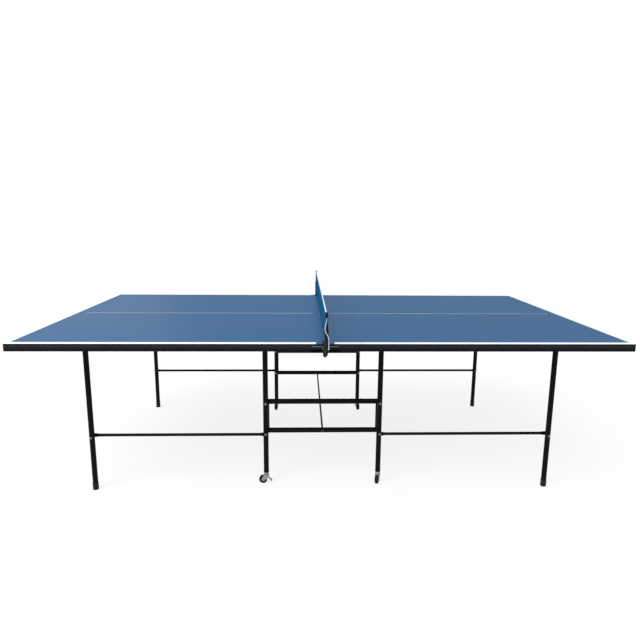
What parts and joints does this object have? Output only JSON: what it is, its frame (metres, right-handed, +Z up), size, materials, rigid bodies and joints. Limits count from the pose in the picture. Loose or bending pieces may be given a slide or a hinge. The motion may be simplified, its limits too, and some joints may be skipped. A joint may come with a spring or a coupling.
{
  "type": "ping pong table",
  "caption": "Full-size folding table tennis table: two blue boards with white lines on a wheeled black tube carriage, with hinged outer legs, connecting rods and a clamp-on net.",
  "frame": {"origin": "on the floor, under the centre of the table", "axes": "+X along the table's length, +Y across it towards the rear side, +Z up"},
  "size_m": [2.74, 1.7962, 0.916],
  "materials": {
    "playing_board": "matte blue lacquer with white lines",
    "apron_paint": "satin black powder coat",
    "frame_paint": "semi-gloss black powder coat",
    "zinc": "bright zinc plate",
    "wheel_rubber": "matte black tread",
    "black_plastic": "moulded black plastic",
    "net_nylon": "knotted nylon netting, dark teal blue",
    "net_tape": "white woven tape",
    "net_cord": "pale braided cord",
    "clamp_paint": "dark navy enamel"
  },
  "bodies": {
    "carriage": {"inner_leg_front_left": "frame_paint", "inner_leg_front_right": "frame_paint", "upper_bar_front": "frame_paint", "lower_bar_front": "frame_paint", "inner_leg_rear_left": "frame_paint", "inner_leg_rear_right": "frame_paint", "upper_bar_rear": "frame_paint", "lower_bar_rear": "frame_paint", "frame_uprights": "frame_paint", "pivot_tube_left": "frame_paint", "pivot_tube_right": "frame_paint", "tie_rod": "frame_paint", "carriage_bolts": "zinc", "inner_leg_plugs": "black_plastic"},
    "half_left": {"board_left": "playing_board", "apron_front_left": "apron_paint", "apron_rear_left": "apron_paint", "apron_end_left": "apron_paint", "underside_rails_left": "frame_paint", "hinge_blocks_left": "black_plastic"},
    "outer_frame_left": {"outer_leg_front_left": "frame_paint", "outer_leg_rear_left": "frame_paint", "outer_cross_tube_left": "frame_paint", "outer_leg_caps_left": "black_plastic", "outer_rod_bolts_left": "zinc"},
    "half_right": {"board_right": "playing_board", "apron_front_right": "apron_paint", "apron_rear_right": "apron_paint", "apron_end_right": "apron_paint", "underside_rails_right": "frame_paint", "hinge_blocks_right": "black_plastic"},
    "outer_frame_right": {"outer_leg_front_right": "frame_paint", "outer_leg_rear_right": "frame_paint", "outer_cross_tube_right": "frame_paint", "outer_leg_caps_right": "black_plastic", "outer_rod_bolts_right": "zinc"},
    "rod_front_left": {"connecting_rod_front_left": "frame_paint"},
    "rod_front_right": {"connecting_rod_front_right": "frame_paint"},
    "rod_rear_left": {"connecting_rod_rear_left": "frame_paint"},
    "rod_rear_right": {"connecting_rod_rear_right": "frame_paint"},
    "caster_front_left": {"caster_fork_front_left": "zinc"},
    "wheel_front_left": {"caster_wheel_front_left": "wheel_rubber"},
    "pedal_front_left": {"caster_pedal_front_left": "zinc"},
    "caster_front_right": {"caster_fork_front_right": "zinc"},
    "wheel_front_right": {"caster_wheel_front_right": "wheel_rubber"},
    "pedal_front_right": {"caster_pedal_front_right": "zinc"},
    "caster_rear_left": {"caster_fork_rear_left": "zinc"},
    "wheel_rear_left": {"caster_wheel_rear_left": "wheel_rubber"},
    "pedal_rear_left": {"caster_pedal_rear_left": "zinc"},
    "caster_rear_right": {"caster_fork_rear_right": "zinc"},
    "wheel_rear_right": {"caster_wheel_rear_right": "wheel_rubber"},
    "pedal_rear_right": {"caster_pedal_rear_right": "zinc"},
    "net_set": {"net_mesh": "net_nylon", "net_tape": "net_tape", "net_posts": "clamp_paint", "net_clamps": "clamp_paint", "net_cord_tail": "net_cord"},
    "net_screw_front": {"clamp_screw_front": "clamp_paint"},
    "net_screw_rear": {"clamp_screw_rear": "clamp_paint"}
  },
  "joints": [
    {"name": "fold_left", "type": "hinge", "parent": "carriage", "child": "half_left", "pos_m": [-0.276, 0, 0.716], "axis": [0, 1, 0], "range_deg": [0, 90]},
    {"name": "outer_frame_hinge_left", "type": "hinge", "parent": "half_left", "child": "outer_frame_left", "pos_m": [-1.093, 0, 0.716], "axis": [0, -1, 0], "range_deg": [0, 90]},
    {"name": "rod_hinge_front_left", "type": "hinge", "parent": "carriage", "child": "rod_front_left", "pos_m": [-0.276, -0.5695, 0.266], "axis": [0, 1, 0], "range_deg": [0, 90]},
    {"name": "rod_hinge_rear_left", "type": "hinge", "parent": "carriage", "child": "rod_rear_left", "pos_m": [-0.276, 0.5695, 0.266], "axis": [0, 1, 0], "range_deg": [0, 90]},
    {"name": "fold_right", "type": "hinge", "parent": "carriage", "child": "half_right", "pos_m": [0.276, 0, 0.716], "axis": [0, -1, 0], "range_deg": [0, 90]},
    {"name": "outer_frame_hinge_right", "type": "hinge", "parent": "half_right", "child": "outer_frame_right", "pos_m": [1.093, 0, 0.716], "axis": [0, 1, 0], "range_deg": [0, 90]},
    {"name": "rod_hinge_front_right", "type": "hinge", "parent": "carriage", "child": "rod_front_right", "pos_m": [0.276, -0.5695, 0.266], "axis": [0, -1, 0], "range_deg": [0, 90]},
    {"name": "rod_hinge_rear_right", "type": "hinge", "parent": "carriage", "child": "rod_rear_right", "pos_m": [0.276, 0.5695, 0.266], "axis": [0, -1, 0], "range_deg": [0, 90]},
    {"name": "swivel_front_left", "type": "hinge", "parent": "carriage", "child": "caster_front_left", "pos_m": [-0.276, -0.541, 0.05], "axis": [0, 0, 1], "continuous": true},
    {"name": "wheel_spin_front_left", "type": "hinge", "parent": "caster_front_left", "child": "wheel_front_left", "pos_m": [-0.29196, -0.53988, 0.02], "axis": [-0.0698, -0.9976, 0], "continuous": true},
    {"name": "brake_front_left", "type": "hinge", "parent": "caster_front_left", "child": "pedal_front_left", "pos_m": [-0.27001, -0.54142, 0.036], "axis": [0.0698, 0.9976, 0], "range_deg": [0, 10]},
    {"name": "swivel_front_right", "type": "hinge", "parent": "carriage", "child": "caster_front_right", "pos_m": [0.276, -0.541, 0.05], "axis": [0, 0, 1], "continuous": true},
    {"name": "wheel_spin_front_right", "type": "hinge", "parent": "caster_front_right", "child": "wheel_front_right", "pos_m": [0.27106, -0.55622, 0.02], "axis": [0.9511, -0.309, 0], "continuous": true},
    {"name": "brake_front_right", "type": "hinge", "parent": "caster_front_right", "child": "pedal_front_right", "pos_m": [0.27785, -0.53529, 0.036], "axis": [-0.9511, 0.309, 0], "range_deg": [0, 10]},
    {"name": "swivel_rear_left", "type": "hinge", "parent": "carriage", "child": "caster_rear_left", "pos_m": [-0.276, 0.541, 0.05], "axis": [0, 0, 1], "continuous": true},
    {"name": "wheel_spin_rear_left", "type": "hinge", "parent": "caster_rear_left", "child": "wheel_rear_left", "pos_m": [-0.27823, 0.52516, 0.02], "axis": [0.9903, -0.1392, 0], "continuous": true},
    {"name": "brake_rear_left", "type": "hinge", "parent": "caster_rear_left", "child": "pedal_rear_left", "pos_m": [-0.27516, 0.54694, 0.036], "axis": [-0.9903, 0.1392, 0], "range_deg": [0, 10]},
    {"name": "swivel_rear_right", "type": "hinge", "parent": "carriage", "child": "caster_rear_right", "pos_m": [0.276, 0.541, 0.05], "axis": [0, 0, 1], "continuous": true},
    {"name": "wheel_spin_rear_right", "type": "hinge", "parent": "caster_rear_right", "child": "wheel_rear_right", "pos_m": [0.27905, 0.52529, 0.02], "axis": [0.9816, 0.1908, 0], "continuous": true},
    {"name": "brake_rear_right", "type": "hinge", "parent": "caster_rear_right", "child": "pedal_rear_right", "pos_m": [0.27486, 0.54689, 0.036], "axis": [-0.9816, -0.1908, 0], "range_deg": [0, 10]},
    {"name": "net_lift_off", "type": "slide", "parent": "carriage", "child": "net_set", "axis": [0, 0, 1], "range_m": [0, 0.25]},
    {"name": "net_screw_turn_front", "type": "hinge", "parent": "net_set", "child": "net_screw_front", "pos_m": [0, -0.742, 0.715], "axis": [0, 0, 1], "continuous": true},
    {"name": "net_screw_turn_rear", "type": "hinge", "parent": "net_set", "child": "net_screw_rear", "pos_m": [0, 0.742, 0.715], "axis": [0, 0, 1], "continuous": true}
  ],
  "couplings": [
    {"joint": "outer_frame_hinge_left", "follows": "fold_left", "ratio": 1},
    {"joint": "rod_hinge_front_left", "follows": "fold_left", "ratio": 1},
    {"joint": "rod_hinge_rear_left", "follows": "fold_left", "ratio": 1},
    {"joint": "outer_frame_hinge_right", "follows": "fold_right", "ratio": 1},
    {"joint": "rod_hinge_front_right", "follows": "fold_right", "ratio": 1},
    {"joint": "rod_hinge_rear_right", "follows": "fold_right", "ratio": 1}
  ]
}
